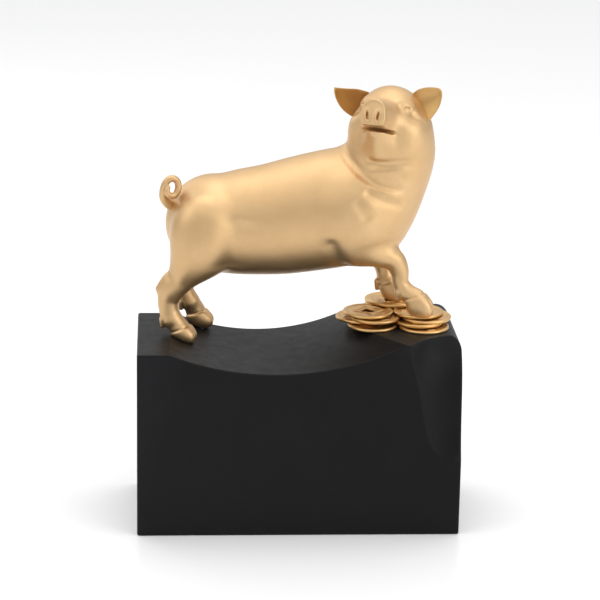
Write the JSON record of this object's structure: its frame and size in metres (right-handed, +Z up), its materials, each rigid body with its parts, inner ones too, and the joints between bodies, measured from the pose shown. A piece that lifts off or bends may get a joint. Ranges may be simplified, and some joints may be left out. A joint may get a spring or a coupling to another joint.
{
  "type": "coin bank",
  "caption": "Still bank: a gilt pig with its forefeet on cash coins, standing on a hollow black saddle-topped plinth with a rear coin slot and a swinging trap below.",
  "frame": {"origin": "centre of the plinth's underside, on which the bank stands", "axes": "+Z up; +X from the pig's tail towards its chest; -Y is the display side, which the pig's face looks to"},
  "size_m": [0.163, 0.076, 0.2227],
  "materials": {
    "gilt": "satin gold metallic paint over cast iron",
    "gilt_coin": "satin gold metallic paint, darker in the recesses",
    "black_iron": "satin black enamel over cast iron",
    "black_plate": "satin black enamel",
    "steel": "zinc-plated steel",
    "cover_steel": "black painted steel"
  },
  "bodies": {
    "bank": {"pig_body": "gilt", "pig_head": "gilt", "ear_right": "gilt", "ear_left": "gilt", "tail": "gilt", "front_leg_right": "gilt", "front_leg_left": "gilt", "hind_leg_right": "gilt", "hind_leg_left": "gilt", "coin_left_1": "gilt_coin", "coin_left_2": "gilt_coin", "coin_left_3": "gilt_coin", "coin_left_4": "gilt_coin", "coin_right_1": "gilt_coin", "coin_right_2": "gilt_coin", "coin_right_3": "gilt_coin", "coin_right_4": "gilt_coin", "coin_rear_1": "gilt_coin", "coin_rear_2": "gilt_coin", "coin_rear_3": "gilt_coin", "coin_rear_4": "gilt_coin", "coin_top": "gilt_coin", "plinth": "black_iron", "base_plate": "black_plate", "plate_screws": "steel", "pivot_screw": "steel", "pivot_nut": "steel", "pivot_washer": "steel", "stop_pins": "steel", "hoof_studs": "steel", "hoof_washers": "steel", "hoof_nuts": "steel"},
    "trap": {"trap_cover": "cover_steel"}
  },
  "joints": [
    {"name": "trap_swing", "type": "hinge", "parent": "bank", "child": "trap", "pos_m": [-0.01, -0.008, 0.00235], "axis": [0, 0, 1], "range_deg": [0, 120]}
  ]
}
